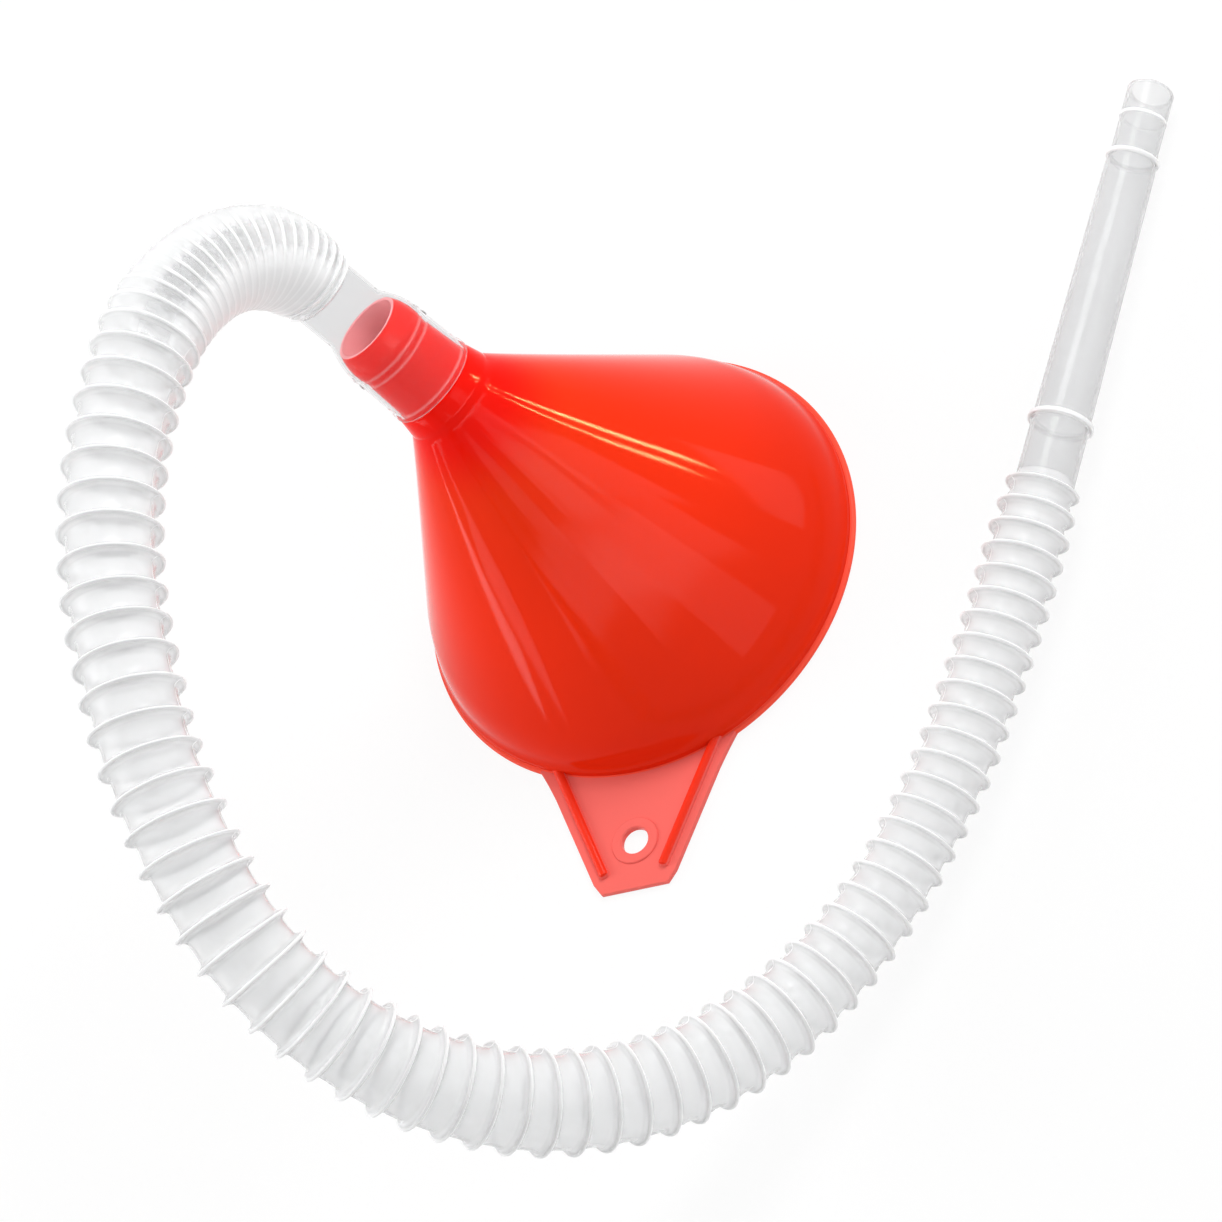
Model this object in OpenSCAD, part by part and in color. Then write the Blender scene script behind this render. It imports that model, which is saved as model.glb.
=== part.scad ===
// Filling funnel with a hanging tab and a pull-off bellows pour hose.
// Millimetres. The funnel stands mouth down on its rim: Z is up, the origin is the centre
// of the mouth in the plane of the rim, and the cone and its neck lean towards +Y.

/* [Mouth and rim] */
// Outer diameter of the rim flange
rim_d = 135; // [120:1:150]
// Thickness of the rim flange
rim_flange_t = 1.8; // [1.2:0.1:3]
// How far the rim flange stands out past the rim band
rim_lip = 1.3; // [0.8:0.1:2.5]
// Height of the straight rim band
rim_band_h = 4; // [3.5:0.1:6]
// Wall of the funnel
wall = 1.6; // [1.2:0.1:2.2]

/* [Shoulder and cone] */
// How far the side wall closes in between the rim band and the shoulder
shoulder_draft = 2; // [0.5:0.1:5]
// Height at which the side wall and the cone would meet in a sharp corner
shoulder_z = 12; // [9:0.5:18]
// Share of the side wall that the shoulder rounding takes up
shoulder_round_wall = 0.55; // [0.2:0.05:0.9]
// Share of the cone that the shoulder rounding takes up
shoulder_round_cone = 0.07; // [0.03:0.01:0.2]

/* [Neck] */
// Outer radius where the cone ends and the neck collar starts
neck_r = 15.5; // [14:0.1:19]
// Height of the end of the cone above the mouth
neck_z = 92; // [75:1:120]
// How far the end of the cone stands off to the side of the mouth centre
neck_y = 23.6; // [10:0.2:35]
// Tilt of the neck from upright
neck_tilt = 30; // [10:1:40]
// Length of the collar between the cone and the seat of the cuff
collar_l = 6.4; // [4:0.1:12]
// Radius of the collar at the seat of the cuff
seat_r = 14.2; // [13.8:0.1:15]

/* [Spigot] */
// Radius of the spigot at its root
spigot_r = 13; // [12.5:0.1:13.6]
// Length of the spigot beyond the seat
spigot_l = 26.6; // [24:0.1:29]
// Radius of the snap bead near the spigot tip
bead_r = 12.7; // [12.4:0.1:12.9]
// Radius of the spigot tip
tip_r = 11.1; // [10.6:0.1:11.6]
// Wall of the spigot at its tip
tip_wall = 1.2; // [0.8:0.1:1.8]

/* [Hanging tab] */
// Direction of the tab around the rim, counted from +X
tab_angle = 219.6; // [180:0.2:270]
// Distance from the mouth centre to the end of the tab
tab_reach = 104; // [92:1:115]
// Half width of the tab at the rim
tab_base_half = 28.5; // [22:0.5:34]
// Half width of the tab at its end
tab_end_half = 10.5; // [9:0.5:14]
// Length of the cut-off corners at the end of the tab
tab_corner = 3.6; // [1:0.2:6]
// Thickness of the tab
tab_t = 1.8; // [1.2:0.1:3]
// Width of each stiffening rib
rib_w = 2.4; // [1.6:0.1:3.4]
// Height of each rib above the tab
rib_h = 1.8; // [1:0.1:3]
// Distance from the edge of the tab to the middle of a rib
rib_inset = 4.6; // [3.5:0.1:6]
// Distance from the mouth centre to the hanging hole
hole_reach = 88.6; // [84:0.2:93]
// Radius of the hanging hole
hole_r = 4.2; // [3:0.1:5]
// Width of the raised ring around the hole
boss_w = 3.2; // [2:0.1:4]
// Height of the raised ring above the tab
boss_h = 0.5; // [0.3:0.1:1.5]

/* [Hose cuff] */
// Clearance between the cuff and the spigot
fit_gap = 0.3; // [0.2:0.05:0.5]
// Wall of the cuff and the hose
hose_wall = 0.8; // [0.6:0.1:1]
// Length of the cuff from its seat to the first pleat
cuff_l = 44.4; // [40:0.2:52]
// Bore radius of the cuff where the hose starts
cuff_neck_r = 9.8; // [8.8:0.1:10.2]
// Length of the bead at the open end of the cuff
cuff_bead_l = 1.8; // [1.2:0.1:3]
// How far the end bead stands out from the cuff
cuff_bead_h = 0.4; // [0.3:0.1:0.8]
// How far the two grip rings stand out from the cuff
grip_ring_h = 0.35; // [0.2:0.05:0.6]

/* [Pour nozzle] */
// Length of the nozzle from the last pleat to its tip
nozzle_l = 125.6; // [110:0.2:150]
// Radius of the nozzle where the hose ends
nozzle_root_r = 8.6; // [8:0.1:9.4]
// Radius at the far end of the long taper
nozzle_taper_r = 7.4; // [7:0.1:7.8]
// Radius of the straight tip
nozzle_tip_r = 6.8; // [6:0.1:6.9]
// Length of the straight tip
nozzle_tip_l = 20; // [16:0.5:30]
// Wall of the nozzle
nozzle_wall = 1; // [0.8:0.1:1.4]
// Distance from the last pleat to the flange ring
flange_at = 17.2; // [12:0.2:24]
// Radius of the flange ring
flange_r = 9.8; // [9.4:0.1:10.6]

/* [Hidden] */

// Rounds of the turned parts, and sides of the lofted shell and the hose tube.
$fn = 96;
shell_sides = 72;
hose_sides = 12;

// Radii of the mouth, from the rim flange inwards.
rim_r = rim_d / 2;
band_r = rim_r - rim_lip;
band_step = 0.3;
bore_step = 0.6;
shell_overlap = 1.5;
mouth_r = band_r - wall - bore_step;
side_r = band_r - band_step;
shoulder_r = side_r - shoulder_draft;
shell_start_z = rim_band_h - shell_overlap;
round_steps = 6;

// Bore of the neck, from the inside of the cone to the spigot tip.
neck_bore_step = 0.4;
seat_bore_step = 0.2;
neck_bore_r = neck_r - wall - neck_bore_step;
seat_bore_r = spigot_r - wall - seat_bore_step;
tip_bore_r = tip_r - tip_wall;
neck_sink = 1;
neck_blend = 0.1;
seat_chamfer = 0.3;

// Snap bead: its stations counted back from the tip, and how far it stands proud.
lead_in_l = 5.6;
bead_l = 3.5;
bead_ramp_l = 2;
bead_h = 0.4;
bead_end = spigot_l - lead_in_l;
bead_start = bead_end - bead_l;
bead_foot = bead_start - bead_ramp_l;
waist_r = bead_r - bead_h;

// Grip rings of the cuff: their pitch, and half their widths at the foot and the crest.
grip_ring_pitch = 2.6;
grip_ring_foot = 0.6;
grip_ring_crest = 0.2;
grip_ring_z = [bead_start + grip_ring_pitch / 2, bead_start - grip_ring_pitch / 2];

// How far past the spigot tip the cuff reaches its narrow neck.
cuff_shoulder_past = 4.4;

// The tab starts inside the rim band, and its cut-off corners are this steep.
tab_root = 4;
tab_bury = 10;
tab_root_flare = 1;
corner_slope = 0.7;
rib_bury = 6;
rib_short = 1.5;
cut_margin = 1;

// Rings of the nozzle, and the step down from the last pleat.
nozzle_ring = 0.6;
nozzle_step_l = 1.2;
nozzle_draft = 0.1;
tip_ring_from_end = 8.4;
tip_ring_h = 0.2;
tip_ring_l = 0.6;
tip_ring_ramp = 0.3;

// Hose route, from the cuff to the nozzle, and the hose's outer radius along its length.
route = [
    [0, 53, 143.5], [-1.5, 56.5, 151], [-5.5, 59.5, 158], [-12, 61.5, 164],
    [-20.5, 62, 169], [-33, 60.5, 173.5], [-46.5, 56, 176.5], [-61.5, 49, 178],
    [-76.5, 40.5, 178.5], [-90, 31, 178.5], [-104.5, 19, 177.5], [-118, 6, 175],
    [-131.5, -9.5, 171.5], [-143.5, -23.5, 166.5], [-154, -38.5, 160], [-165, -56, 150],
    [-173.5, -75.5, 136], [-176.5, -95, 117.5], [-173.5, -111, 98.5], [-166, -124, 80.5],
    [-155, -134.5, 64], [-139, -143, 48.5], [-118.5, -149, 35], [-95, -152, 24.5],
    [-72, -152, 18], [-48, -150, 14.5], [-24, -145.5, 13], [-1.5, -139.5, 12.5],
    [20.5, -131.5, 12.5], [43.5, -122.5, 12.5], [64, -113.5, 12.5], [81, -106, 12.5]
];
hose_radii = [
    [0, 11.2], [2, 13], [6, 15.4], [20, 15.4], [23, 15], [25, 13.4], [27, 12.4],
    [31, 12.2], [32, 10.8]
];
// Heading of the nozzle around Z, and how far it dips to lie on the floor.
nozzle_heading = 26.8;
nozzle_dip = 2.5;

cuff_end = [0, neck_y, neck_z] + (collar_l + cuff_l) * neck_axis();
spine = concat([cuff_end], route);

// Unit direction of the neck and the spigot.
function neck_axis() = [0, sin(neck_tilt), cos(neck_tilt)];

// A ring is its centre and two half axes; mixing two rings gives the rings between them.
function level_ring(r, z) = [[0, 0, z], [r, 0, 0], [0, r, 0]];
function neck_ring(r) = [
    [0, neck_y, neck_z], [r, 0, 0], [0, r * cos(neck_tilt), -r * sin(neck_tilt)]
];
function mix(a, b, t) = a * (1 - t) + b * t;
function ring_points(ring, sides) = [
    for (i = [0 : sides - 1])
        ring[0] + ring[1] * cos(360 * i / sides) + ring[2] * sin(360 * i / sides)
];
function flip(rings) = [for (i = [len(rings) - 1 : -1 : 0]) rings[i]];

// Rings of one skin of the funnel, inset by t: rim, rounded shoulder, straight cone.
function shell_rings(t) =
    let (
        foot = level_ring(side_r - t, shell_start_z),
        corner = level_ring(shoulder_r - t, shoulder_z - t / 2),
        top = neck_ring(neck_r - t),
        from = mix(corner, foot, shoulder_round_wall),
        to = mix(corner, top, shoulder_round_cone)
    )
    concat(
        [foot],
        [for (i = [0 : round_steps])
            let (k = i / round_steps) mix(mix(from, corner, k), mix(corner, to, k), k)],
        [top]
    );

// A point and the direction at k along one stretch of the hose, on a smooth spline.
function spine_at(i) =
    i < 0 ? 2 * spine[0] - spine[1] :
    i >= len(spine) ? 2 * spine[len(spine) - 1] - spine[len(spine) - 2] : spine[i];
function bend_point(i, k) = 0.5 * (
    2 * spine_at(i)
    + (spine_at(i + 1) - spine_at(i - 1)) * k
    + (2 * spine_at(i - 1) - 5 * spine_at(i) + 4 * spine_at(i + 1) - spine_at(i + 2)) * k * k
    + (3 * spine_at(i) - spine_at(i - 1) - 3 * spine_at(i + 1) + spine_at(i + 2)) * k * k * k
);
function unit(v) = v / norm(v);
hose_points = [
    for (i = [0 : len(spine) - 2], k = [0, 0.5]) bend_point(i, k),
    spine[len(spine) - 1]
];
function hose_direction(i) =
    i == 0 ? neck_axis() :
    i == len(hose_points) - 1 ? nozzle_axis() : unit(hose_points[i + 1] - hose_points[i - 1]);
function nozzle_axis() = [
    cos(nozzle_dip) * cos(nozzle_heading),
    cos(nozzle_dip) * sin(nozzle_heading),
    -sin(nozzle_dip)
];
function hose_rings(inset) = [
    for (i = [0 : len(hose_points) - 1])
        let (
            r = lookup(i / 2, hose_radii) - inset,
            d = hose_direction(i),
            across = unit(cross([0, 0, 1], d)),
            up = cross(d, across)
        )
        [hose_points[i], across * r, up * r]
];

// Closed skin through a loop of rings: out along one side and back along the other.
module ring_skin(rings, sides) {
    count = len(rings);
    polyhedron(
        points = [for (ring = rings) each ring_points(ring, sides)],
        faces = [
            for (i = [0 : count - 1], j = [0 : sides - 1])
                let (
                    next = (i + 1) % count,
                    side = (j + 1) % sides,
                    a = i * sides + j,
                    b = i * sides + side,
                    c = next * sides + side,
                    d = next * sides + j
                )
                each [[a, d, c], [a, c, b]]
        ]
    );
}

module at_neck(up = 0) {
    translate([0, neck_y, neck_z]) rotate([-neck_tilt, 0, 0]) translate([0, 0, up]) children();
}

module at_nozzle() {
    translate(spine[len(spine) - 1])
        rotate([0, 90 + nozzle_dip, nozzle_heading]) children();
}

// Turned ring at the mouth: straight bore, flange and band, with the flange edge rounded.
module rim() {
    edge = rim_flange_t / 2;
    rotate_extrude() {
        difference() {
            union() {
                translate([mouth_r, 0]) square([band_r - mouth_r, rim_band_h]);
                translate([mouth_r, 0]) square([rim_r - edge - mouth_r, rim_flange_t]);
                translate([rim_r - edge, edge]) circle(edge, $fn = 32);
            }
            translate([0, -rim_flange_t]) square([rim_r + edge, rim_flange_t]);
        }
    }
}

// Collar, seat, spigot and snap bead in one turned profile, hollow right through.
module neck() {
    at_neck() rotate_extrude() polygon([
        [neck_bore_r + 2 * neck_blend, -neck_sink],
        [neck_r - neck_blend, -neck_sink],
        [neck_r + neck_blend, 0],
        [seat_r + neck_blend, collar_l - seat_chamfer],
        [seat_r - neck_blend, collar_l],
        [spigot_r, collar_l],
        [waist_r, collar_l + bead_foot],
        [bead_r, collar_l + bead_start],
        [bead_r, collar_l + bead_end],
        [mix(bead_r, tip_r, 0.45), collar_l + mix(bead_end, spigot_l, 0.6)],
        [tip_r, collar_l + spigot_l],
        [tip_bore_r, collar_l + spigot_l],
        [seat_bore_r, collar_l]
    ]);
}

// Outline of the tab, pointing along +X.
module tab_outline() {
    polygon([
        [rim_r - tab_bury, -tab_base_half - tab_root_flare],
        [rim_r - tab_root, -tab_base_half],
        [tab_reach - tab_corner, -tab_end_half - tab_corner * corner_slope],
        [tab_reach, -tab_end_half],
        [tab_reach, tab_end_half],
        [tab_reach - tab_corner, tab_end_half + tab_corner * corner_slope],
        [rim_r - tab_root, tab_base_half],
        [rim_r - tab_bury, tab_base_half + tab_root_flare]
    ]);
}

// Round-topped bar that runs along one side of the tab from inside the rim band.
module tab_rib() {
    run = tab_reach - tab_corner - rim_r + tab_root;
    rise = tab_base_half - tab_end_half - tab_corner * corner_slope;
    slope = atan2(rise, run);
    top = tab_t + rib_h - rib_w / 2;
    length = norm([run, rise]) - rib_short + rib_bury;
    translate([rim_r - tab_root, tab_base_half - rib_inset, 0]) rotate([0, 0, -slope]) {
        translate([-rib_bury, -rib_w / 2, tab_t / 2]) cube([length, rib_w, top - tab_t / 2]);
        translate([-rib_bury, 0, top]) rotate([0, 90, 0])
            cylinder(h = length, r = rib_w / 2, $fn = 32);
    }
}

// Flat tab with two ribs and a ringed hole, its inner end buried in the rim band.
module tab() {
    rotate([0, 0, tab_angle]) difference() {
        union() {
            linear_extrude(tab_t) tab_outline();
            tab_rib();
            mirror([0, 1, 0]) tab_rib();
            translate([hole_reach, 0, 0]) cylinder(h = tab_t + boss_h, r = hole_r + boss_w);
        }
        translate([0, 0, -cut_margin])
            cylinder(h = tab_t + rib_h + 2 * cut_margin, r = mouth_r + bore_step);
        translate([hole_reach, 0, -cut_margin])
            cylinder(h = tab_t + boss_h + 2 * cut_margin, r = hole_r);
    }
}

module funnel_body() {
    color("orangered") union() {
        rim();
        ring_skin(concat(shell_rings(0), flip(shell_rings(wall))), shell_sides);
        neck();
        tab();
    }
}

// Stepped sleeve: wide over the spigot, a round shoulder past its tip, then a narrow neck.
// Its bore follows the spigot with the fit clearance and never widens outwards.
module hose_cuff() {
    shoulder_start = bead_end + fit_gap;
    neck_start = spigot_l + cuff_shoulder_past;
    wide_r = spigot_r + fit_gap;
    bore = [
        [wide_r, fit_gap],
        [bead_r + fit_gap, shoulder_start],
        [mix(bead_r, cuff_neck_r, 0.22) + fit_gap, mix(shoulder_start, neck_start, 0.33)],
        [mix(bead_r, cuff_neck_r, 0.55) + fit_gap, mix(shoulder_start, neck_start, 0.63)],
        [cuff_neck_r, neck_start],
        [cuff_neck_r, cuff_l]
    ];
    end_bead = [
        [wide_r + hose_wall, fit_gap + cuff_bead_l + cuff_bead_h],
        [wide_r + hose_wall + cuff_bead_h, fit_gap + cuff_bead_l],
        [wide_r + hose_wall + cuff_bead_h, fit_gap]
    ];
    skin = [
        for (i = [len(bore) - 1 : -1 : 1]) [bore[i][0] + hose_wall, bore[i][1]],
        for (z = grip_ring_z, side = [1, -1]) each grip_ring_edge(z, side)
    ];
    color("gainsboro", 0.6) at_neck(collar_l) rotate_extrude()
        polygon(concat(bore, skin, end_bead));
}

// Two fine rings run around the cuff over the groove behind the snap bead.
function grip_ring_edge(z, side) =
    let (r = lookup(z, [[0, spigot_r], [bead_end, bead_r]]) + fit_gap + hose_wall)
    side > 0
        ? [[r, z + grip_ring_foot], [r + grip_ring_h, z + grip_ring_crest]]
        : [[r + grip_ring_h, z - grip_ring_crest], [r, z - grip_ring_foot]];

module bellows_hose() {
    color("whitesmoke", 0.7)
        ring_skin(concat(hose_rings(0), flip(hose_rings(hose_wall))), hose_sides);
}

// Long tapered tip with a flange ring, a stop ring and a straight end.
module pour_nozzle() {
    tip_start = nozzle_l - nozzle_tip_l;
    ring = nozzle_ring;
    grip = nozzle_l - tip_ring_from_end;
    last_pleat_r = hose_radii[len(hose_radii) - 1][1];
    color("gainsboro", 0.7) at_nozzle() rotate_extrude() polygon([
        [last_pleat_r, 0],
        [nozzle_root_r, nozzle_step_l],
        [nozzle_root_r - nozzle_draft, flange_at],
        [flange_r, flange_at + ring],
        [flange_r, flange_at + 3 * ring],
        [nozzle_root_r - nozzle_draft, flange_at + 4 * ring],
        [nozzle_taper_r, tip_start - 3 * ring],
        [nozzle_taper_r + ring, tip_start - 2 * ring],
        [nozzle_taper_r + ring, tip_start - ring],
        [nozzle_tip_r, tip_start],
        [nozzle_tip_r, grip],
        [nozzle_tip_r + tip_ring_h, grip + tip_ring_ramp],
        [nozzle_tip_r + tip_ring_h, grip + tip_ring_ramp + tip_ring_l],
        [nozzle_tip_r, grip + 2 * tip_ring_ramp + tip_ring_l],
        [nozzle_tip_r, nozzle_l],
        [nozzle_tip_r - nozzle_wall, nozzle_l],
        [nozzle_tip_r - nozzle_wall, tip_start],
        [nozzle_taper_r - nozzle_wall, tip_start - 3 * ring],
        [nozzle_root_r - nozzle_wall, 0]
    ]);
}

funnel_body();
hose_cuff();
bellows_hose();
pour_nozzle();
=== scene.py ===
import math

import bpy
import numpy as np
from mathutils import Matrix, Vector


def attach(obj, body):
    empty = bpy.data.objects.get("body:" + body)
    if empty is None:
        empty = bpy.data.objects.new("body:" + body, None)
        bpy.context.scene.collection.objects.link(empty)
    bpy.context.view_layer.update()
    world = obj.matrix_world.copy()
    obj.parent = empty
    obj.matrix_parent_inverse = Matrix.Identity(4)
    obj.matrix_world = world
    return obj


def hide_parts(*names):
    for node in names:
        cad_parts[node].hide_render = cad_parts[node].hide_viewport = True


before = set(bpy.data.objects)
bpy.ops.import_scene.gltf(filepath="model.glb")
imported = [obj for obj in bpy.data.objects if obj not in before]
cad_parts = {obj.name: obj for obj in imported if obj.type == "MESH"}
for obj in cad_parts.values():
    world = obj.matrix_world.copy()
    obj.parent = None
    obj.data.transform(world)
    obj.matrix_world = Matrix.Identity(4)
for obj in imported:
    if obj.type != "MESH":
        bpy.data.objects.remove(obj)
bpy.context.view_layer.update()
scene = bpy.context.scene


# ---------------------------------------------------------------- funnel
# One red polypropylene moulding: a flanged rim, a rounded shoulder and a straight cone
# that leans to one side, drawn in to a collar and a spigot with a snap bead. Its sizes are
# in millimetres, and its heights run up from the plane of the mouth.
mm = 0.001
rim_r = 67.5
rim_t = 1.8
band_r = 66.2
band_top = 4.0
mouth_r = 64.0
side_r = 65.9
side_foot = 2.5
shoulder_r = 63.9
shoulder_z = 12.0
wall = 1.6
lean = math.radians(30)
neck_axis = np.array([0.0, math.sin(lean), math.cos(lean)])
neck_foot = np.array([0.0, 23.6, 92.0])
neck_r = 15.5
collar_l = 6.4
spigot_r = 13.0
spigot_l = 26.6
bead_r = 12.7


def level_ring(r, z):
    """Ring round the upright axis: its middle and two half-axes."""
    return np.array([[0, 0, z], [r, 0, 0], [0, r, 0]], float)


def neck_ring(r, up=0.0):
    """Ring round the leaning neck, so far up from the neck's foot."""
    return np.array([neck_foot + up * neck_axis, [r, 0, 0],
                     [0, r * math.cos(lean), -r * math.sin(lean)]], float)


# The shoulder's rounding takes in this share of the side wall and of the cone.
round_below, round_above = 0.55, 0.07
shoulder_steps, cone_steps = 10, 36


def shell_rings(inset, foot_z):
    """Rings of one skin: side wall, rounded shoulder and leaning cone."""
    corner = level_ring(shoulder_r - inset, shoulder_z - inset / 2)
    top = neck_ring(neck_r - inset)
    below = corner + round_below * (level_ring(side_r - inset, side_foot) - corner)
    above = corner + round_above * (top - corner)
    rings = [level_ring(side_r - inset, foot_z)]
    for i in range(shoulder_steps + 1):
        k = i / shoulder_steps
        rings.append((1 - k) ** 2 * below + 2 * k * (1 - k) * corner + k ** 2 * above)
    for i in range(1, cone_steps + 1):
        rings.append(above + (top - above) * i / cone_steps)
    return rings


# Profiles of (radius, height): the flange with its round edge and the band over it, then
# the collar up from the neck's foot, and the spigot and its bore up from the collar's end.
rim_edge = [(rim_r - rim_t / 2 * (1 - math.sin(a)), rim_t / 2 * (1 - math.cos(a)))
            for a in np.linspace(0, math.pi, 9)]
rim = [(mouth_r, 0.2), (mouth_r + 0.2, 0), *rim_edge, (band_r + 0.1, rim_t + 0.05),
       (band_r, rim_t + 0.2), (band_r, band_top - 0.2), (band_r - 0.1, band_top)]
collar = [(15.55, 0.3), (15.3, 1.6), (14.9, 3.6), (14.45, 5.8), (14.25, 6.3),
          (14.05, collar_l)]
spigot = [(spigot_r + 0.1, 0), (spigot_r - 0.02, 0.1), (12.3, 15.5), (12.45, 16.6),
          (12.65, 17.3), (bead_r, 17.7), (bead_r, 20.6), (12.6, 21.2), (12.0, 24.2),
          (11.15, 26.3), (11.0, spigot_l)]
bore = [(10.0, spigot_l), (9.9, 26.4), (11.2, 0), (13.5, -collar_l)]

rim_rings = [level_ring(r, z) for r, z in rim]
outer_rings = shell_rings(0, band_top + 0.2)
neck_rings = [neck_ring(r, up) for r, up in collar]
neck_rings += [neck_ring(r, collar_l + up) for r, up in spigot + bore]
inner_rings = shell_rings(wall, band_top)[-2::-1] + [level_ring(mouth_r, band_top - 0.2)]
funnel_rings = rim_rings + outer_rings + neck_rings + inner_rings

# Faint flow ribs run down one side of the cone from the neck.
flow_side = math.radians(238)
flow_rise = 0.09
flow_elsewhere = 0.03
cone_sides = 288
turn = 2 * math.pi * np.arange(cone_sides) / cone_sides
rng = np.random.default_rng(7)
flow = np.zeros(cone_sides)
for count in (9, 14, 21, 29, 37):
    flow += rng.uniform(0.5, 1.0) * np.cos(count * turn + rng.uniform(0, 6.28)) / count ** 0.5
near_side = ((1 + np.cos(turn - flow_side)) / 2) ** 9
flow *= flow_rise * (flow_elsewhere + (1 - flow_elsewhere) * near_side)
cone_start = len(rim_rings) + 1 + shoulder_steps
up_cone = np.zeros(len(funnel_rings))
up_cone[cone_start:cone_start + cone_steps + 1] = np.arange(cone_steps + 1) / cone_steps

funnel_co = np.empty((len(funnel_rings), cone_sides, 3))
for i, (centre, across, along) in enumerate(funnel_rings):
    lift = 1 + up_cone[i] ** 3 * (1 - up_cone[i]) * flow
    funnel_co[i] = (centre + np.outer(np.cos(turn) * lift, across)
                    + np.outer(np.sin(turn) * lift, along))


def closed_skin(name, co, sharp, folds=None):
    """Skin through a closed row of rings of points, with how folded each point is."""
    rings, sides = co.shape[:2]
    faces = []
    for i in range(rings):
        n = (i + 1) % rings
        for j in range(sides):
            s = (j + 1) % sides
            faces.append((i * sides + j, i * sides + s, n * sides + s, n * sides + j))
    mesh = bpy.data.meshes.new(name)
    mesh.from_pydata((co.reshape(-1, 3) * mm).tolist(), [], faces)
    mesh.shade_smooth()
    mesh.set_sharp_from_angle(angle=math.radians(sharp))
    if folds is not None:
        fold = mesh.attributes.new("fold", "FLOAT", "POINT")
        fold.data.foreach_set("value", np.asarray(folds, "f").ravel())
    piece = bpy.data.objects.new(name, mesh)
    scene.collection.objects.link(piece)
    return piece


funnel = closed_skin("funnel", funnel_co, sharp=32)


def red_plastic(name, shades, haze_low, haze_high, through=0.0):
    """Glossy red with a trace of flow marks, from rows of (height in mm, colour)."""
    material = bpy.data.materials.new(name)
    material.use_nodes = True
    tree = material.node_tree
    shader = tree.nodes["Principled BSDF"]
    shader.inputs["IOR"].default_value = 1.49
    shader.inputs["Specular IOR Level"].default_value = 0.06
    shader.inputs["Transmission Weight"].default_value = through
    place = tree.nodes.new("ShaderNodeTexCoord")
    height = tree.nodes.new("ShaderNodeSeparateXYZ")
    tree.links.new(place.outputs["Object"], height.inputs["Vector"])
    lowest, highest = shades[0][0], shades[-1][0]
    depth = tree.nodes.new("ShaderNodeMapRange")
    depth.inputs["From Min"].default_value = lowest * mm
    depth.inputs["From Max"].default_value = highest * mm
    tree.links.new(height.outputs["Z"], depth.inputs["Value"])
    tint = tree.nodes.new("ShaderNodeValToRGB")
    tint.color_ramp.interpolation = "EASE"
    stops = tint.color_ramp.elements
    for at, colour in shades[1:-1]:
        stops.new((at - lowest) / (highest - lowest))
    for stop, (at, colour) in zip(stops, shades):
        stop.color = (*colour, 1)
    tree.links.new(depth.outputs["Result"], tint.inputs["Fac"])
    cloud = tree.nodes.new("ShaderNodeTexNoise")
    cloud.inputs["Scale"].default_value = 12
    cloud.inputs["Detail"].default_value = 4
    tree.links.new(place.outputs["Object"], cloud.inputs["Vector"])
    cloud_tone = tree.nodes.new("ShaderNodeMapRange")
    cloud_tone.inputs["To Min"].default_value = 1.03
    cloud_tone.inputs["To Max"].default_value = 0.95
    tree.links.new(cloud.outputs["Fac"], cloud_tone.inputs["Value"])
    mottle = tree.nodes.new("ShaderNodeMix")
    mottle.data_type = "RGBA"
    mottle.blend_type = "MULTIPLY"
    mottle.inputs["Factor"].default_value = 1.0
    tree.links.new(tint.outputs["Color"], mottle.inputs["A"])
    tree.links.new(cloud_tone.outputs["Result"], mottle.inputs["B"])
    tree.links.new(mottle.outputs["Result"], shader.inputs["Base Color"])
    gloss = tree.nodes.new("ShaderNodeMapRange")
    gloss.inputs["To Min"].default_value = haze_low
    gloss.inputs["To Max"].default_value = haze_high
    tree.links.new(cloud.outputs["Fac"], gloss.inputs["Value"])
    tree.links.new(gloss.outputs["Result"], shader.inputs["Roughness"])
    grain = tree.nodes.new("ShaderNodeTexNoise")
    grain.inputs["Scale"].default_value = 900
    grain.inputs["Detail"].default_value = 2
    tree.links.new(place.outputs["Object"], grain.inputs["Vector"])
    skin = tree.nodes.new("ShaderNodeBump")
    skin.inputs["Strength"].default_value = 0.006
    skin.inputs["Distance"].default_value = 0.0003
    tree.links.new(grain.outputs["Fac"], skin.inputs["Height"])
    tree.links.new(skin.outputs["Normal"], shader.inputs["Normal"])
    return material


# The red is deepest at the thick neck, and it is painted darker towards the rim: painted
# shade. It is painted pale at the thin rim, at the spigot's end and in its bore: a painted
# glow for the light that comes through there.
funnel.data.materials.append(red_plastic("red_polypropylene", [
    (8, (0.80, 0.024, 0.004)), (50, (0.95, 0.030, 0.004)), (76, (0.95, 0.032, 0.004)),
    (94, (0.95, 0.007, 0.002))], haze_low=0.05, haze_high=0.07))
funnel.data.materials.append(red_plastic("red_polypropylene_painted_glow", [
    (40, (0.94, 0.09, 0.05)), (90, (1.0, 0.37, 0.38))], haze_low=0.20, haze_high=0.26))
bore_ring = len(rim_rings) + len(outer_rings) + len(collar) + len(spigot)
for ring in (*range(len(rim_rings) - 3), *range(bore_ring - 1, bore_ring + 2)):
    for face in range(ring * cone_sides, (ring + 1) * cone_sides):
        funnel.data.polygons[face].material_index = 1

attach(funnel, "funnel")
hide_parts("funnel_body")


# ---------------------------------------------------------------- hanging tab
# A thin ear moulded in one with the rim, so the funnel can hang on a hook: a flat plate
# with cut corners, two round-topped ribs and a hole with a faint raised ring. It is laid
# out along X from the middle of the mouth, then turned to its place.
tab_turn = math.radians(219.6)
tab_reach = 104.0
tab_t = 1.8
edge_round = 0.3
base_half, end_half, corner = 28.5, 10.5, 3.6
root_r, root_half = 65.1, 30.0
flare_l, flare_half = 6.5, 31.2

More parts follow.
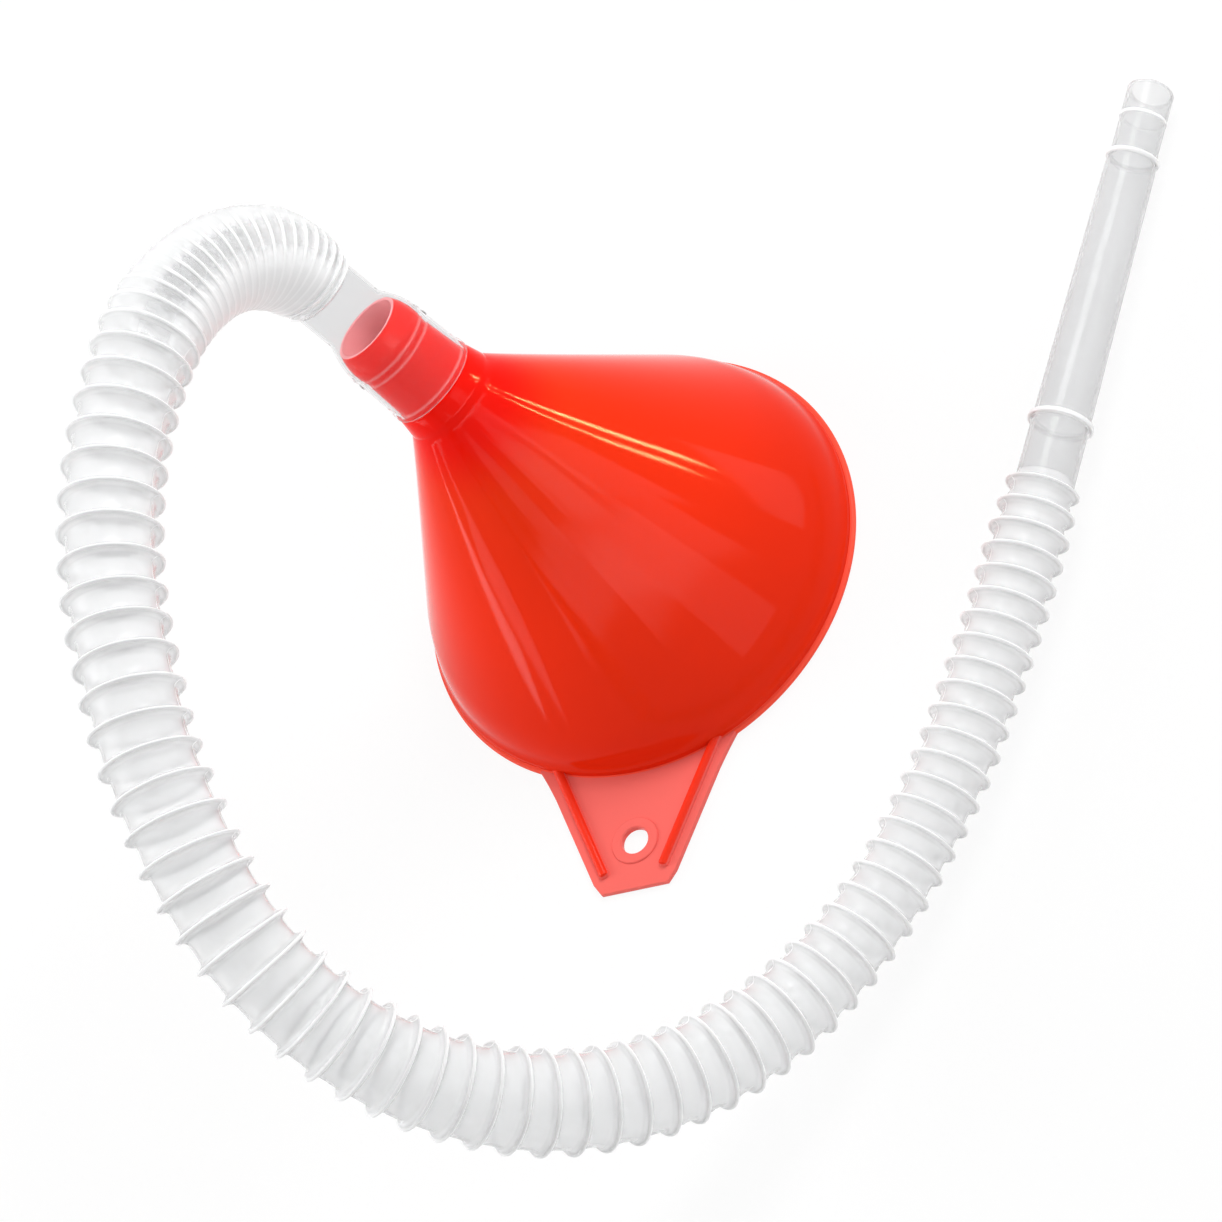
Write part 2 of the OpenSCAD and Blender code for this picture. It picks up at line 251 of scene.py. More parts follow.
# The sides run out of the rim in a hollow curve, then straight down to the cut corners.
side_start = (rim_r - 4, base_half)
side_end = (tab_reach - corner, end_half + 0.7 * corner)
side_drop = (side_end[1] - side_start[1]) / (side_end[0] - side_start[0])
flare_angle = math.asin(flare_half / rim_r)
flare_start = ((rim_r - 0.2) * math.cos(flare_angle), (rim_r - 0.2) * math.sin(flare_angle))
flare_bend = (side_start[0], side_start[1] + 0.3)
flare_end = (side_start[0] + flare_l, side_start[1] + flare_l * side_drop)
side_line = [tuple((1 - k) ** 2 * p + 2 * k * (1 - k) * q + k ** 2 * r
                   for p, q, r in zip(flare_start, flare_bend, flare_end))
             for k in np.linspace(0, 1, 8)]
side_line += [side_end, (tab_reach, end_half)]
root_angle = math.asin(root_half / root_r)
outline = [(root_r * math.cos(a), root_r * math.sin(a))
           for a in np.linspace(-root_angle, root_angle, 25)]
outline += side_line + [(x, -y) for x, y in side_line[::-1]]


def inset_outline(points, amount):
    """The clockwise outline moved inwards by an amount."""
    result = []
    for i, (x, y) in enumerate(points):
        last, following = points[i - 1], points[(i + 1) % len(points)]
        before = Vector((x - last[0], y - last[1])).normalized()
        after = Vector((following[0] - x, following[1] - y)).normalized()
        inward = Vector((before.y + after.y, -before.x - after.x)).normalized()
        grow = amount / max(0.3, math.sqrt((1 + before.dot(after)) / 2))
        result.append((x + inward.x * grow, y + inward.y * grow))
    return result


def lofted(name, loops, closed_ends=True):
    """Skin over a row of loops: its ends are filled, or the last joins the first."""
    count = len(loops[0])
    last = (len(loops) - 1) * count
    c, s = math.cos(tab_turn), math.sin(tab_turn)
    points = [(x * c - y * s, x * s + y * c, z) for loop in loops for x, y, z in loop]
    faces = [(i * count + j, i * count + (j + 1) % count,
              (i + 1) * count + (j + 1) % count, (i + 1) * count + j)
             for i in range(len(loops) - 1) for j in range(count)]
    if closed_ends:
        faces += [tuple(range(count))[::-1], tuple(last + j for j in range(count))]
    else:
        faces += [(last + j, last + (j + 1) % count, (j + 1) % count, j)
                  for j in range(count)]
    mesh = bpy.data.meshes.new(name)
    mesh.from_pydata([tuple(v * mm for v in point) for point in points], [], faces)
    mesh.shade_smooth()
    mesh.set_sharp_from_angle(angle=math.radians(35))
    piece = bpy.data.objects.new(name, mesh)
    scene.collection.objects.link(piece)
    return piece


plate = lofted("tab_plate", [
    [(x, y, z) for x, y in inset_outline(outline, amount)]
    for amount, z in ((edge_round, 0.0), (0.09, 0.09), (0.0, edge_round),
                      (0.0, tab_t - edge_round), (0.09, tab_t - 0.09), (edge_round, tab_t))])

# The ring round the hole, and the plug that is taken out for the hole with its soft edges.
hole_reach, hole_r = 88.6, 4.2
boss_r, boss_foot, boss_top = 7.4, 0.3, 2.3
hole_steps = 64


def round_hole(r, z):
    """Loop of points round the hole's axis."""
    return [(hole_reach + r * math.cos(a), r * math.sin(a), z)
            for a in 2 * math.pi * np.arange(hole_steps) / hole_steps]


boss = lofted("tab_boss", [round_hole(r, z) for r, z in (
    (hole_r, boss_foot), (boss_r, boss_foot), (boss_r, tab_t), (boss_r - 0.1, boss_top - 0.2),
    (boss_r - 0.35, boss_top), (hole_r, boss_top))], closed_ends=False)
hole = lofted("tab_hole", [round_hole(r, z) for r, z in (
    (hole_r + edge_round, -0.5), (hole_r + edge_round, 0.0), (hole_r, edge_round),
    (hole_r, boss_top - edge_round), (hole_r + edge_round, boss_top),
    (hole_r + edge_round, boss_top + 0.5))])

# The ribs run along the sides from under the band, and each ends in a rounded nose.
rib_half, rib_foot, rib_top = 1.6, 0.9, 3.6
rib_inset = 4.6
rib_start = -4.4
rib_slope = math.atan(-side_drop)
rib_end = math.dist(side_start, side_end) - 1.5
rib_nose = [(1.2, 1.0), (0.75, 0.93), (0.35, 0.71), (0.1, 0.4), (0.0, 0.12)]
rib_arc = [(rib_half * math.cos(a), rib_top - rib_half + rib_half * math.sin(a))
           for a in np.linspace(0, math.pi, 13)]
rib_section = [(rib_half, rib_foot)] + rib_arc + [(-rib_half, rib_foot)]
ribs = []
for name, hand in (("tab_rib_left", 1), ("tab_rib_right", -1)):
    loops = []
    for along, share in [(rib_start, 1.0)] + [(rib_end - short, s) for short, s in rib_nose]:
        loop = []
        for across, z in rib_section:
            x = side_start[0] + along * math.cos(rib_slope) + across * share * math.sin(rib_slope)
            y = (base_half - rib_inset - along * math.sin(rib_slope)
                 + across * share * math.cos(rib_slope))
            loop.append((x, hand * y, rib_foot + (z - rib_foot) * share))
        loops.append(loop[::hand])
    ribs.append(lofted(name, loops))

for tool, how in ((boss, "UNION"), (ribs[0], "UNION"), (ribs[1], "UNION"), (hole, "DIFFERENCE")):
    joint = plate.modifiers.new(tool.name, "BOOLEAN")
    joint.operation = how
    joint.solver = "EXACT"
    joint.object = tool
plate_mesh = bpy.data.meshes.new_from_object(
    plate.evaluated_get(bpy.context.evaluated_depsgraph_get()))
plate.modifiers.clear()
plate.data = plate_mesh
plate.data.name = "hanging_tab"
plate.name = "hanging_tab"
plate.data.shade_smooth()
plate.data.set_sharp_from_angle(angle=math.radians(30))
flatten = plate.modifiers.new("flat_faces", "WEIGHTED_NORMAL")
flatten.keep_sharp = True
for tool in (boss, hole, *ribs):
    bpy.data.objects.remove(tool)

# The plate is thin enough for some light to come through, and it is also painted a paler
# pink than the tops of its ribs: a painted glow for that light. The ribs' lower flanks take
# the same pale pink, a painted highlight.
plate.data.materials.clear()
plate.data.materials.append(red_plastic("red_polypropylene_thin_painted_glow", [
    (boss_top + 0.2, (0.96, 0.165, 0.14)), (boss_top + 0.75, (0.95, 0.035, 0.010))],
    haze_low=0.20, haze_high=0.26, through=0.15))

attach(plate, "funnel")
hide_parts("funnel_body")


# ---------------------------------------------------------------- hose cuff
# The smooth end of the hose, which is blown in one of clear soft polyethylene. It is pushed
# over the spigot up to the collar: a wide sleeve with a bead at its mouth and two grip
# rings, then a round step to a narrow neck.
cuff_l = 44.4
fit_gap = 0.3
hose_wall = 0.8
sleeve_r = spigot_r + fit_gap
narrow_r = 9.8
bead_end = spigot_l - 5.6
bead_start = bead_end - 3.5
grip_apart = 2.6

# Rows of (radius, height, fold). The rings' radii are how far they stand out of the skin.
cuff_bore = [
    (sleeve_r, fit_gap, 0), (bead_r + fit_gap, bead_end + fit_gap, 0),
    (12.75, 22.6, 0), (12.45, 24.0, 0), (11.95, 25.6, 0), (11.3, 27.3, 0), (10.6, 29.0, 0),
    (10.05, 30.2, 0), (narrow_r, 31.0, 0), (narrow_r, cuff_l, 0),
]
# Their fold paints the grip rings and the mouth bead paler: a painted sheen for their glints.
grip_ring = [(0, 0.75, 0), (0.22, 0.45, 0.1), (0.35, 0.15, 0.25),
             (0.35, -0.15, 0.25), (0.22, -0.45, 0.1), (0, -0.75, 0)]
mouth_bead = [(0, 3.1, 0), (0.25, 2.7, 0.2), (0.4, 2.3, 0.3), (0.38, 2.0, 0),
              (0.38, 0.9, 0), (0.4, 0.7, 0.35), (0.25, 0.4, 0.35), (-0.1, fit_gap, 0.3)]
cuff_skin = [(r + hose_wall, z, fold) for r, z, fold in cuff_bore[:0:-1]]
for z in (bead_start + grip_apart / 2, bead_start - grip_apart / 2):
    r = np.interp(z, [0, bead_end], [spigot_r, bead_r]) + fit_gap + hose_wall
    cuff_skin += [(r + out, z + up, fold) for out, up, fold in grip_ring]
cuff_skin += [(sleeve_r + hose_wall + out, z, fold) for out, z, fold in mouth_bead]


def across_bend(direction):
    """Two unit vectors square to the hose: one level, one upright."""
    level = np.cross([0, 0, 1], direction)
    level /= np.linalg.norm(level)
    return level, np.cross(direction, level)


turned_sides = 96
long_flat, from_end = 1.5, 0.2


def turned(name, profile, foot, direction):
    """Turned piece from a closed profile. Long flats get a ring close to each end."""
    rows = []
    for here, there in zip(profile, profile[1:] + profile[:1]):
        rows.append(here)
        length = math.hypot(there[0] - here[0], there[1] - here[1])
        if length > long_flat:
            rows += [tuple(a + (b - a) * k for a, b in zip(here, there))
                     for k in (from_end / length, 1 - from_end / length)]
    level, upright = across_bend(direction)
    turn = 2 * math.pi * np.arange(turned_sides) / turned_sides
    out = np.outer(np.cos(turn), level) + np.outer(np.sin(turn), upright)
    co = np.array([foot + z * direction + r * out for r, z, fold in rows])
    folds = np.repeat([fold for r, z, fold in rows], turned_sides)
    return closed_skin(name, co, sharp=35, folds=folds)


cuff = turned("cuff", (cuff_bore + cuff_skin)[::-1], neck_foot + collar_l * neck_axis, neck_axis)

# How folded the flat film and the flanks of a pleat are, where a crest is 1.
flat_film, flank_film = 0.15, 0.25


def clear_plastic(name, ior, through, whitening, haze_low, haze_high, gloss, shades):
    """Clear soft plastic with a glossy skin: milky, so the far side is only a glow, and
    white where it is folded. The shades run from clear wall over flat film and a pleat's
    flank to a crest. The fold values that the skins carry also paint shade into the bend's
    slits and a sheen onto the cuff's rings."""
    material = bpy.data.materials.new(name)
    material.use_nodes = True
    tree = material.node_tree
    shader = tree.nodes["Principled BSDF"]
    shader.inputs["IOR"].default_value = ior
    shader.inputs["Specular IOR Level"].default_value = 0.25
    shader.inputs["Coat Weight"].default_value = gloss
    shader.inputs["Coat Roughness"].default_value = 0.10
    shader.inputs["Coat IOR"].default_value = 1.45
    fold_mark = tree.nodes.new("ShaderNodeAttribute")
    fold_mark.attribute_name = "fold"
    shade = tree.nodes.new("ShaderNodeValToRGB")
    stops = shade.color_ramp.elements
    stops[0].position, stops[1].position = 0.0, 1.0
    stops.new(flat_film)
    stops.new(flank_film)
    for stop, grey in zip(stops, shades):
        stop.color = (grey, grey * 1.003, grey * 1.007, 1)
    tree.links.new(fold_mark.outputs["Fac"], shade.inputs["Fac"])
    tree.links.new(shade.outputs["Color"], shader.inputs["Base Color"])
    whiten = tree.nodes.new("ShaderNodeMath")
    whiten.operation = "MULTIPLY_ADD"
    whiten.inputs[1].default_value = -whitening
    whiten.inputs[2].default_value = through
    tree.links.new(fold_mark.outputs["Fac"], whiten.inputs[0])
    tree.links.new(whiten.outputs[0], shader.inputs["Transmission Weight"])
    place = tree.nodes.new("ShaderNodeTexCoord")
    cloud = tree.nodes.new("ShaderNodeTexNoise")
    cloud.inputs["Scale"].default_value = 70
    cloud.inputs["Detail"].default_value = 4
    tree.links.new(place.outputs["Object"], cloud.inputs["Vector"])
    haze = tree.nodes.new("ShaderNodeMapRange")
    haze.inputs["To Min"].default_value = haze_low
    haze.inputs["To Max"].default_value = haze_high
    tree.links.new(cloud.outputs["Fac"], haze.inputs["Value"])
    tree.links.new(haze.outputs["Result"], shader.inputs["Roughness"])
    return material


# The cuff's wall is thicker and clearer than the pleats.
cuff.data.materials.append(clear_plastic(
    "clear_polyethylene_cuff", ior=1.03, through=0.985, whitening=0.60, haze_low=0.08,
    haze_high=0.14, gloss=0.16, shades=(0.87, 0.92, 0.96, 1.0)))

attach(cuff, "hose")
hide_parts("hose_cuff")


# ---------------------------------------------------------------- bellows hose
# The pleated length of the pour hose: thin clear polyethylene, blown into sharp round
# pleats. They are pushed together round the first bend and drawn out along the rest.
hose_start = neck_foot + (collar_l + cuff_l) * neck_axis
route = [
    (0, 53, 143.5), (-1.5, 56.5, 151), (-5.5, 59.5, 158), (-12, 61.5, 164),
    (-20.5, 62, 169), (-33, 60.5, 173.5), (-46.5, 56, 176.5), (-61.5, 49, 178),
    (-76.5, 40.5, 178.5), (-90, 31, 178.5), (-104.5, 19, 177.5), (-118, 6, 175),
    (-131.5, -9.5, 171.5), (-143.5, -23.5, 166.5), (-154, -38.5, 160), (-165, -56, 150),
    (-173.5, -75.5, 136), (-176.5, -95, 117.5), (-173.5, -111, 98.5), (-166, -124, 80.5),
    (-155, -134.5, 64), (-139, -143, 48.5), (-118.5, -149, 35), (-95, -152, 24.5),
    (-72, -152, 18), (-48, -150, 14.5), (-24, -145.5, 13), (-1.5, -139.5, 12.5),
    (20.5, -131.5, 12.5), (43.5, -122.5, 12.5), (64, -113.5, 12.5), (81, -106, 12.5),
]
hose_line = np.vstack([hose_start, route])
nozzle_heading = math.radians(26.8)
nozzle_dip = math.radians(2.5)
nozzle_axis = np.array([
    math.cos(nozzle_dip) * math.cos(nozzle_heading),
    math.cos(nozzle_dip) * math.sin(nozzle_heading),
    -math.sin(nozzle_dip),
])


def line_point(i):
    """Point of the route, or one more in line past either end."""
    if i < 0:
        return 2 * hose_line[0] - hose_line[1]
    if i >= len(hose_line):
        return 2 * hose_line[-1] - hose_line[-2]
    return hose_line[i]


def bend_point(i, k):
    """Point a share k of the way from one point of the route to the next."""
    a, b, c, d = (line_point(i + n) for n in (-1, 0, 1, 2))
    return 0.5 * (2 * b + (c - a) * k + (2 * a - 5 * b + 4 * c - d) * k ** 2
                  + (3 * b - a - 3 * c + d) * k ** 3)


steps_between = 24
bend = np.array([bend_point(i, k / steps_between) for i in range(len(hose_line) - 1)
                 for k in range(steps_between)] + [hose_line[-1]])
bend_run = np.concatenate([[0], np.cumsum(np.linalg.norm(np.diff(bend, axis=0), axis=1))])
hose_l = bend_run[-1]


def on_bend(run):
    """Point of the hose's middle line after a run along it."""
    return np.array([np.interp(run, bend_run, bend[:, n]) for n in range(3)])


def bend_direction(run):
    """Unit vector along the hose, from the points a short way before and after."""
    half_step = 1.5
    if run <= 0:
        return neck_axis
    if run >= hose_l:
        return nozzle_axis
    d = on_bend(min(run + half_step, hose_l)) - on_bend(max(run - half_step, 0))
    return d / np.linalg.norm(d)


# Where the pleats' crests stand along the hose, and how the crests and the depth of the
# grooves between them change on the way.
pitch_at = ([0, 45, 55, 63, 72, 84, 100, 130, 210, 280, 380, 470, 520, 627],
            [3.0, 3.15, 4.2, 5.6, 7.2, 8.8, 9.8, 10.2, 10.0, 9.5, 8.9, 8.5, 7.6, 7.3])
crest_at = ([0, 8, 20, 60, 200, 300, 360, 400, 430, 455, 480, 510, 608, 617, 627],
            [11.7, 13.6, 15.1, 15.6, 15.8, 16.2, 16.0, 15.6, 15.0, 14.0, 12.9, 12.4,
             12.2, 11.6, 10.8])
depth_at = ([0, 45, 60, 80, 150, 300, 360, 400, 440, 480, 608, 627],
            [0.8, 1.3, 1.9, 2.4, 2.9, 2.9, 2.2, 2.0, 2.3, 2.1, 2.4, 2.0])
film = 0.5
first_crest = 1.6
crest_room = 2.0
last_gap = 3.0

crests = []
run = first_crest
while run < hose_l - crest_room:
    crests.append(run)
    run += np.interp(run, *pitch_at)
stretch = (hose_l - last_gap) / crests[-1]
crests = [c * stretch for c in crests]

# One pleat from groove to groove: how far along, how high and how folded. Its flanks are
# hollow, and its crest is a narrow rounded fin that the fold has turned white.
fin_half = 2.0
fin_share = 0.94
groove_sag, film_sag = 0.05, 0.03
flank = [(1.0, 0.01, flat_film), (0.74, 0.09, flat_film), (0.50, 0.28, flank_film),
         (0.32, 0.60, flank_film), (0.22, 0.88, 1.0), (0.11, 0.98, 1.0)]
cuff_end_r = narrow_r + hose_wall
nozzle_root_r = 8.6
stations = [(0.0, cuff_end_r, cuff_end_r, flat_film)]
marks = [0.0, *crests, hose_l]
for last, here, following in zip(marks, crests, marks[2:]):
    crest = np.interp(here, *crest_at)
    depth = np.interp(here, *depth_at)
    before, after = (here - last) / 2, (following - here) / 2
    foot_before, foot_after = min(fin_half, fin_share * before), min(fin_half, fin_share * after)
    pleat = [(-before, -groove_sag, flat_film)] if last > 0 else []
    pleat += [(-(foot_before + before) / 2, -film_sag, flat_film)]
    pleat += [(-foot_before * share, rise, fold) for share, rise, fold in flank]
    pleat += [(0.0, 1.0, 1.0)]
    pleat += [(foot_after * share, rise, fold) for share, rise, fold in flank[::-1]]
    pleat += [((foot_after + after) / 2, -film_sag, flat_film)]
    stations += [(here + along, crest + (rise - 1) * depth, crest, fold)
                 for along, rise, fold in pleat]
stations.append((hose_l, nozzle_root_r, nozzle_root_r, flat_film))


def smooth_step(x, low, high):
    """0 below the low mark, 1 above the high one, and a smooth rise between them."""
    k = np.clip((x - low) / (high - low), 0, 1)
    return k * k * (3 - 2 * k)


# Round the first bend the outer side is stretched smooth and the inner side is pressed
# together into one white wall, so the pleats show only between the two, with the slits
# between them painted a darker grey: painted shade. The halves of the mould leave one fine
# seam along the inner side of the loop.
bend_centre = np.array([-18.0, 38.0, 138.0])
bend_in, bend_out = (2, 8), (54, 84)
stretched_side, pressed_side = (0.48, 0.74), (-0.15, 0.4)
stretched_lift, pressed_lift = 0.85, 0.9
stretched_fold, pressed_fold, seam_fold = 0.3, 0.9, 0.8
seam_at = ([0, 250, 400, 627], [0.0, 0.0, 1.0, 1.0])
seam_half, seam_clear = 0.028, 0.09
seam_h = 0.22
hose_sides = 75
around = np.concatenate([
    [-seam_half, 0, seam_half],
    np.linspace(seam_clear, 2 * math.pi - seam_clear, hose_sides - 3)])
on_seam = np.zeros(hose_sides)
on_seam[1] = 1.0

outside = np.empty((len(stations), hose_sides, 3))
inside = np.empty_like(outside)
folds = np.empty((len(stations), hose_sides))
for i, (run, radius, crest, fold) in enumerate(stations):
    centre, direction = on_bend(run), bend_direction(run)
    level, upright = across_bend(direction)
    turn = around + np.interp(run, *seam_at)
    out = np.outer(np.cos(turn), level) + np.outer(np.sin(turn), upright)
    away = centre - bend_centre
    away -= direction * (away @ direction)
    side = out @ (away / np.linalg.norm(away))
    in_bend = smooth_step(run, *bend_in) * (1 - smooth_step(run, *bend_out))
    stretched = in_bend * smooth_step(side, *stretched_side)
    pressed = in_bend * smooth_step(-side, *pressed_side)
    seam = on_seam * (1 - in_bend)
    lift = radius + (crest - radius) * (stretched_lift * stretched + pressed_lift * pressed)
    outside[i] = centre + out * (lift + seam_h * seam)[:, None]
    inside[i] = centre + out * (lift - film)[:, None]
    # In the bend the flat film takes the first and darkest shade: painted shade in the slits.
    slit = (fold - flat_film) / (1 - flat_film)
    fold = fold + (slit - fold) * in_bend
    fold = fold * (1 - stretched) + stretched_fold * stretched
    folds[i] = np.maximum(fold, np.maximum(pressed_fold * pressed, seam_fold * seam))
bellows = closed_skin("bellows", np.concatenate([outside, inside[::-1]]), sharp=50,
                      folds=np.concatenate([folds, folds[::-1]]))
# The first shade, 0.90, is reached only in the bend's slits, as painted shade.
bellows.data.materials.append(clear_plastic(
    "clear_polyethylene", ior=1.12, through=0.84, whitening=0.76, haze_low=0.22,
    haze_high=0.268, gloss=0.16, shades=(0.90, 0.965, 0.975, 1.0)))

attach(bellows, "hose")
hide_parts("bellows_hose")


# ---------------------------------------------------------------- pour nozzle
# The rigid end of the hose moulding, of the same clear polyethylene with a thicker wall: a
# long taper with a flange ring that rests on a filler neck, a stop ring, and a straight
# tip with one fine ring, cut off on a slant.
nozzle_l = 125.6
nozzle_wall = 1.0
taper_r = 7.4
tip_r = 6.8
flange_at = 17.2
tip_start = nozzle_l - 20
fine_ring_at = nozzle_l - 8.4

# Rows of (radius, height, fold) as on the cuff. The flange ring's radii are from the axis.
flange_ring = [(nozzle_root_r + 0.1, -0.1, 0), (9.3, 0.35, 0.5), (9.7, 0.6, 1), (9.8, 1.2, 1),
               (9.7, 1.8, 1), (9.3, 2.05, 0.5), (nozzle_root_r + 0.1, 2.5, 0)]
stop_ring = [(0.15, -1.6, 0.5), (0.5, -1.2, 1), (0.62, -0.8, 1), (0.5, -0.4, 1)]
fine_ring = [(0, 0, 0.2), (0.2, 0.3, 1), (0.2, 0.9, 1), (0, 1.2, 0)]
nozzle_profile = [
    (nozzle_root_r, 0, 0), (nozzle_root_r, 1.2, 0), (nozzle_root_r - 0.1, flange_at - 0.6, 0),
    *[(r, flange_at + up, fold) for r, up, fold in flange_ring],
    (nozzle_root_r - 0.15, flange_at + 3.0, 0), (taper_r, tip_start - 2.0, 0),
    *[(taper_r + out, tip_start + up, fold) for out, up, fold in stop_ring],
    (tip_r + 0.15, tip_start, 0.5), (tip_r, tip_start + 0.3, 0), (tip_r, fine_ring_at - 0.2, 0),
    *[(tip_r + out, fine_ring_at + up, fold) for out, up, fold in fine_ring],
    (tip_r, nozzle_l - 0.6, 0), (tip_r, nozzle_l - 0.15, 0.5), (tip_r - 0.15, nozzle_l, 1),
    (tip_r - nozzle_wall, nozzle_l, 1), (tip_r - nozzle_wall, nozzle_l - 0.5, 0),
    (tip_r - nozzle_wall, tip_start, 0), (taper_r - nozzle_wall, tip_start - 1.8, 0),
    (nozzle_root_r - nozzle_wall, 0, 0),
]
nozzle = turned("nozzle", nozzle_profile, hose_line[-1], nozzle_axis)

# The slanted cut leaves the tip a little longer on its upper side.
slant_h = 2.4
slant_turn = math.radians(116)
cut_zone = 0.7
level, upright = across_bend(nozzle_axis)
long_side = math.cos(slant_turn) * level + math.sin(slant_turn) * upright
for point in nozzle.data.vertices:
    spot = np.array(point.co) / mm - hose_line[-1]
    if spot @ nozzle_axis > nozzle_l - cut_zone:
        reach = slant_h / 2 * (1 + spot @ long_side / tip_r)
        point.co += Vector(reach * mm * nozzle_axis)
nozzle.data.materials.append(clear_plastic(
    "clear_polyethylene_nozzle", ior=1.10, through=0.82, whitening=0.70, haze_low=0.22,
    haze_high=0.268, gloss=0.20, shades=(0.85, 0.88, 0.93, 1.0)))

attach(nozzle, "hose")
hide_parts("pour_nozzle")


# ---------------------------------------------------------------- floor and light
# A plain pale floor under a soft studio sky, with a large soft lamp on each side and a
# weaker one in front. The floor and the sky show as plain white, directly, in gloss and
# through clear plastic, while what they light stays dimmer.
floor_half = 12.0
floor_z = -0.0002
floor_white = 0.90
sky_strength = 0.46


def seen_as_white(tree):
    """Socket that is 1 for a ray that looks at the background, and 0 for one that lights."""
    ray = tree.nodes.new("ShaderNodeLightPath")
    seen = tree.nodes.new("ShaderNodeMath")
    seen.operation = "ADD"
    tree.links.new(ray.outputs["Is Camera Ray"], seen.inputs[0])
    tree.links.new(ray.outputs["Is Glossy Ray"], seen.inputs[1])
    seen_all = tree.nodes.new("ShaderNodeMath")
    seen_all.operation = "ADD"
    seen_all.use_clamp = True
    tree.links.new(seen.outputs[0], seen_all.inputs[0])
    tree.links.new(ray.outputs["Is Transmission Ray"], seen_all.inputs[1])
    return seen_all.outputs[0]


floor_mesh = bpy.data.meshes.new("floor")
floor_mesh.from_pydata([(-floor_half, -floor_half, floor_z), (floor_half, -floor_half, floor_z),
                        (floor_half, floor_half, floor_z), (-floor_half, floor_half, floor_z)],
                       [], [(0, 1, 2, 3)])
floor = bpy.data.objects.new("floor", floor_mesh)
scene.collection.objects.link(floor)
pale = bpy.data.materials.new("pale_floor")
pale.use_nodes = True
tree = pale.node_tree
tree.nodes.clear()
matt = tree.nodes.new("ShaderNodeBsdfDiffuse")
matt.inputs["Color"].default_value = (0.92, 0.92, 0.92, 1)
glow = tree.nodes.new("ShaderNodeEmission")
glow.inputs["Color"].default_value = (1, 1, 1, 1)
glow.inputs["Strength"].default_value = 1.0
share = tree.nodes.new("ShaderNodeMath")
share.operation = "MULTIPLY"
share.inputs[1].default_value = floor_white
blend = tree.nodes.new("ShaderNodeMixShader")
out = tree.nodes.new("ShaderNodeOutputMaterial")
tree.links.new(seen_as_white(tree), share.inputs[0])
tree.links.new(share.outputs[0], blend.inputs[0])
tree.links.new(matt.outputs[0], blend.inputs[1])
tree.links.new(glow.outputs[0], blend.inputs[2])
tree.links.new(blend.outputs[0], out.inputs["Surface"])
floor_mesh.materials.append(pale)

sky = bpy.data.worlds.new("sky")
scene.world = sky
sky.use_nodes = True
tree = sky.node_tree
tree.nodes.clear()
lit = tree.nodes.new("ShaderNodeBackground")
lit.inputs["Color"].default_value = (1, 1, 1, 1)
lit.inputs["Strength"].default_value = sky_strength
white = tree.nodes.new("ShaderNodeBackground")
white.inputs["Color"].default_value = (1, 1, 1, 1)
white.inputs["Strength"].default_value = 1.0
blend = tree.nodes.new("ShaderNodeMixShader")
out = tree.nodes.new("ShaderNodeOutputWorld")
tree.links.new(seen_as_white(tree), blend.inputs[0])
tree.links.new(lit.outputs[0], blend.inputs[1])
tree.links.new(white.outputs[0], blend.inputs[2])
tree.links.new(blend.outputs[0], out.inputs["Surface"])


def lamp(name, place, facing, width, height, power, upward=(0, 0, 1)):
    """Flat lamp that faces one way, with its height set along another."""
    data = bpy.data.lights.new(name, "AREA")
    data.shape = "RECTANGLE"
    data.size = width
    data.size_y = height
    data.energy = power
    obj = bpy.data.objects.new(name, data)
    scene.collection.objects.link(obj)
    back = -Vector(facing).normalized()
    across = Vector(upward).cross(back).normalized()
    upright = back.cross(across)
    obj.matrix_world = Matrix.Translation(place) @ Matrix((
        (across.x, upright.x, back.x, 0), (across.y, upright.y, back.y, 0),
        (across.z, upright.z, back.z, 0), (0, 0, 0, 1)))
    return obj


funnel_middle = Vector((0, 0, 0.05))
for name, place, size, power in (
        ("key_lamp", (0.85, 0.15, 1.05), 0.6, 11.0),
        ("left_lamp", (-0.9, 1.0, 0.68), 0.8, 11.0),
        ("front_lamp", (0.14, -1.13, 0.80), 0.6, 2.6)):
    lamp(name, place, funnel_middle - Vector(place), size, size, power)

